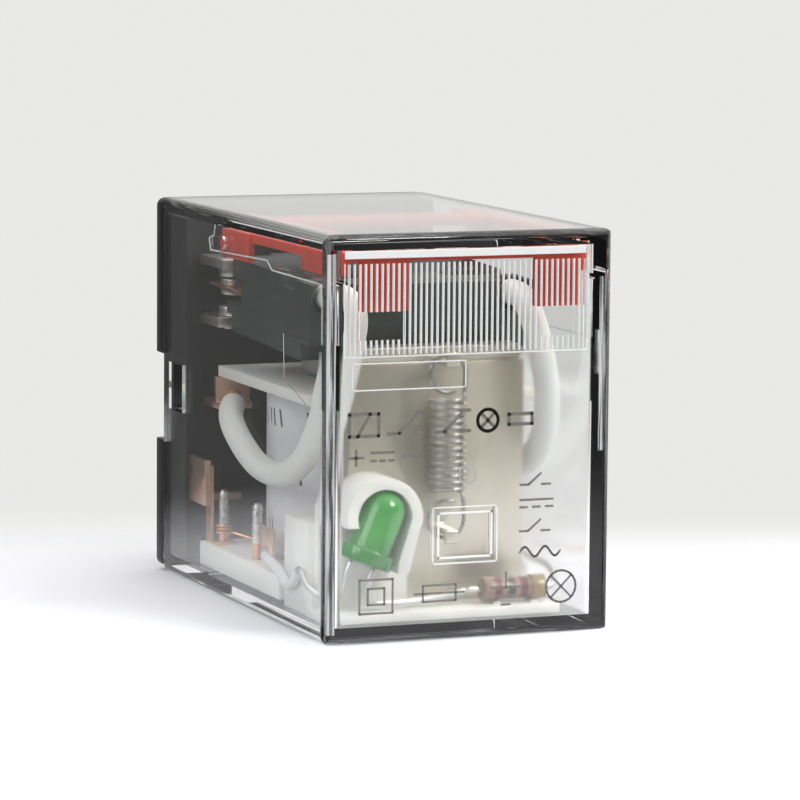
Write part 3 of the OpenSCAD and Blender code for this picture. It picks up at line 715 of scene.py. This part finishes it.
ink = Finish("brown_grey_ink", Roughness=0.6)
ink_wear = ink.noise(3.0, 3.0)
ink.link("Base Color", ink.mix(ink_wear, (0.11, 0.1, 0.09), (0.2, 0.18, 0.165)))
marks = []


def stroke(points, width, closed=False):
    """A flat ribbon through points (x, z) in millimetres, joined with round ends."""
    if closed:
        points = points + [points[0]]
    for (x0, z0), (x1, z1) in zip(points, points[1:]):
        length = math.hypot(x1 - x0, z1 - z0)
        deselect()
        bpy.ops.mesh.primitive_cylinder_add(vertices=12, radius=width / 2 * MM, depth=0.02 * MM)
        dash = bpy.context.active_object
        for vertex in dash.data.vertices:
            if vertex.co.x > 0:
                vertex.co.x += length * MM
        turn = Matrix.Rotation(math.pi / 2, 4, "X")
        lean = Matrix.Rotation(-math.atan2(z1 - z0, x1 - x0), 4, "Y")
        dash.data.transform(Matrix.Translation((x0 * MM, (face + 0.03) * MM, z0 * MM)) @ lean @ turn)
        marks.append(dash)


def ring(x, z, radius, width):
    """A closed round stroke about a centre."""
    steps = 20
    stroke([(x + radius * math.cos(2 * math.pi * i / steps), z + radius * math.sin(2 * math.pi * i / steps))
            for i in range(steps)], width, True)


def frame_mark(x0, x1, z0, z1, width):
    """An upright rectangle drawn in strokes."""
    stroke([(x0, z0), (x1, z0), (x1, z1), (x0, z1)], width, True)


def join_marks(name, finish):
    """Joins the strokes drawn so far into one piece."""
    deselect()
    for dash in marks:
        dash.select_set(True)
    bpy.context.view_layer.objects.active = marks[0]
    bpy.ops.object.join()
    piece = bpy.context.active_object
    piece.name = name
    piece.data.materials.append(finish.material)
    marks.clear()
    return settle(piece, "housing")


bold, fine = 0.26, 0.17
frame_mark(-8.7, -6.6, 14.2, 15.7, bold)
stroke([(-8.1, 14.2), (-7.2, 15.7)], bold)
for x in (-5.9, -2.6):
    stroke([(x, 14.3), (x + 0.8, 14.3), (x + 2.0, 15.5)], bold)
    stroke([(x + 2.1, 14.3), (x + 2.6, 14.3)], bold)
    stroke([(x + 2.1, 15.7), (x + 2.6, 15.7)], bold)
ring(1.35, 14.95, 0.75, bold)
stroke([(0.85, 14.45), (1.85, 15.45)], bold)
stroke([(0.85, 15.45), (1.85, 14.45)], bold)
frame_mark(2.9, 4.6, 14.6, 15.3, bold)
stroke([(-8.7, 12.75), (-7.7, 12.75)], fine * 1.2)
stroke([(-8.2, 12.25), (-8.2, 13.25)], fine * 1.2)
stroke([(-7.1, 13.05), (-5.5, 13.05)], fine * 1.2)
for x in (-7.1, -6.45, -5.8):
    stroke([(x, 12.5), (x + 0.32, 12.5)], fine * 1.2)
stroke([(-4.8, 12.75), (-3.6, 12.75)], fine * 1.2)

for z in (10.75, 7.55):
    stroke([(3.8, z - 0.35), (4.4, z - 0.35), (5.3, z + 0.4)], fine)
    stroke([(5.4, z - 0.35), (6.0, z - 0.35)], fine)
stroke([(3.8, 9.35), (6.2, 9.35)], fine)
for x in (3.8, 4.75, 5.7):
    stroke([(x, 8.85), (x + 0.5, 8.85)], fine)
wave = [(3.8 + 0.15 * i, 5.75 + 0.35 * math.sin(2 * math.pi * i / 10)) for i in range(21)]
stroke(wave, fine)

frame_mark(-7.9, -5.5, 2.1, 4.4, fine)
frame_mark(-7.3, -6.1, 2.7, 3.8, fine)
frame_mark(-3.3, -0.9, 2.7, 3.8, fine)
stroke([(-3.9, 3.25), (-0.3, 3.25)], fine)
stroke([(2.8, 4.4), (2.8, 3.4)], fine)
for half, z in ((1.1, 3.4), (0.7, 2.8), (0.3, 2.2)):
    stroke([(2.8 - half, z), (2.8 + half, z)], fine)
ring(6.9, 3.25, 1.1, fine)
stroke([(6.15, 2.5), (7.65, 4.0)], fine)
stroke([(6.15, 4.0), (7.65, 2.5)], fine)
join_marks("label_symbols", ink)

# Painted highlight: the raised outlines are pale lines that stand in for light caught on the clear relief.
relief_highlight = Finish("painted_relief_highlight", IOR=1.5)
relief_noise = relief_highlight.noise(3.0, 2.0)
relief_highlight.link("Base Color", relief_highlight.mix(relief_noise, (0.9, 0.9, 0.9), (0.75, 0.75, 0.75)))
relief_highlight.link("Roughness", 0.25 + relief_noise * 0.1)
frame_mark(-8.5, -0.3, 17.3, 19.1, 0.09)
ring(-0.1, 11.3, 0.62, 0.13)
frame_mark(-2.6, 2.1, 5.25, 9.1, 0.1)
frame_mark(-2.2, 1.7, 5.65, 8.7, 0.16)
join_marks("raised_plate", relief_highlight)


# ---- Table, light and camera ----
# A pale table top with a painted contact shadow, near black, under the relay's footprint, that fades out into
# a pale room. Soft lamps overhead and at both sides in front, and a long lens from the front left, a little
# above.

bpy.ops.mesh.primitive_plane_add(size=0.5, location=(0, 0, -0.0001))
table = bpy.context.active_object
table.name = "table"
table_top = Finish("pale_table", Specular_IOR_Level=0.0)
soft_grain = table_top.noise(0.05, 2.0)
pale_top = table_top.mix(soft_grain, (0.74, 0.74, 0.78), (0.71, 0.71, 0.75))
# Painted shadow: the base colour turns near black over the relay's footprint, where the table lies in shade.
shade_across = ease(table_top.start.math("ABSOLUTE", table_top.x), 8.6, 10.4, 1.0, 0.0)
foot_middle = face + 17.0
shade_along = ease(table_top.start.math("ABSOLUTE", table_top.y - foot_middle), 15.0, 16.9, 1.0, 0.0)
table_top.link("Base Color", table_top.mix(shade_across * shade_along, pale_top, (0.05, 0.05, 0.055)))
table_top.link("Roughness", 0.8 + soft_grain * 0.1)
there = table_top.place
depth = there.node("ShaderNodeVectorMath", {"operation": "DOT_PRODUCT"}, {0: there, 1: (0.37, 0.93, 0)}, 1)
reach = there.node("ShaderNodeVectorMath", {"operation": "LENGTH"}, {0: there}, 1)
table_top.link("Alpha", ease(depth, 4.0, 40.0, 1.0, 0.0) * ease(reach, 60.0, 110.0, 1.0, 0.0))
table.data.materials.append(table_top.material)


def softbox(name, place, aim, size, power, colour):
    """A square area light at place, turned to aim."""
    lamp = bpy.data.lights.new(name, "AREA")
    lamp.shape = "RECTANGLE"
    lamp.size, lamp.size_y = size
    lamp.energy = power
    lamp.color = colour
    holder = bpy.data.objects.new(name, lamp)
    bpy.context.scene.collection.objects.link(holder)
    holder.location = place
    holder.rotation_euler = (Vector(aim) - Vector(place)).to_track_quat("-Z", "Y").to_euler()


softbox("overhead_light", (0.06, 0.04, 0.6), (0, 0, 0), (0.5, 0.5), 2.1, (1.0, 1.0, 1.0))
softbox("key_light", (0.34, -0.36, 0.38), (0, 0, 0.01), (0.22, 0.22), 2.6, (1.0, 0.98, 0.95))
softbox("fill_light", (-0.42, -0.16, 0.3), (0, 0, 0.01), (0.3, 0.3), 1.1, (0.97, 0.98, 1.0))

room = bpy.data.worlds.new("pale_room")
room.use_nodes = True
bpy.context.scene.world = room
air = Wire(room.node_tree)
facing = air.node("ShaderNodeTexCoord", {}, {}, "Generated")
onward = air.node("ShaderNodeVectorMath", {"operation": "DOT_PRODUCT"}, {0: facing, 1: (0.8, 0.6, 0)}, 1)
above = air.node("ShaderNodeVectorMath", {"operation": "DOT_PRODUCT"}, {0: facing, 1: (0, 0, 1)}, 1)
glare = ease(onward, 0.3, 0.8, 0.12, 0.83)
lift = ease(above, 0.2, 0.8, 0.0, 0.7)
behind = room.node_tree.nodes["Background"]
behind.inputs["Color"].default_value = (0.98, 0.98, 0.96, 1.0)
seen = air.node("ShaderNodeLightPath", {}, {}, "Is Camera Ray")
backdrop = air.math("MAXIMUM", glare + lift, seen * 0.83)
room.node_tree.links.new(backdrop.socket, behind.inputs["Strength"])
bpy.context.scene.view_settings.view_transform = "Standard"

heading, rise, roll = (math.radians(a) for a in (-21.4935, 7.0449, 0.4557))
forward = Vector((-math.sin(heading) * math.cos(rise), math.cos(heading) * math.cos(rise), -math.sin(rise)))
level = forward.cross(Vector((0, 0, 1))).normalized()
upward = level.cross(forward)
right = math.cos(roll) * level + math.sin(roll) * upward
up = math.cos(roll) * upward - math.sin(roll) * level
lens = bpy.data.cameras.new("camera")
lens.lens = 195.8
lens.sensor_width = 36.0
camera = bpy.data.objects.new("camera", lens)
bpy.context.scene.collection.objects.link(camera)
camera.matrix_world = Matrix((
    (right.x, up.x, -forward.x, -0.111511),
    (right.y, up.y, -forward.y, -0.270281 + case_low.y),
    (right.z, up.z, -forward.z, 0.052472),
    (0, 0, 0, 1)))
bpy.context.scene.camera = camera
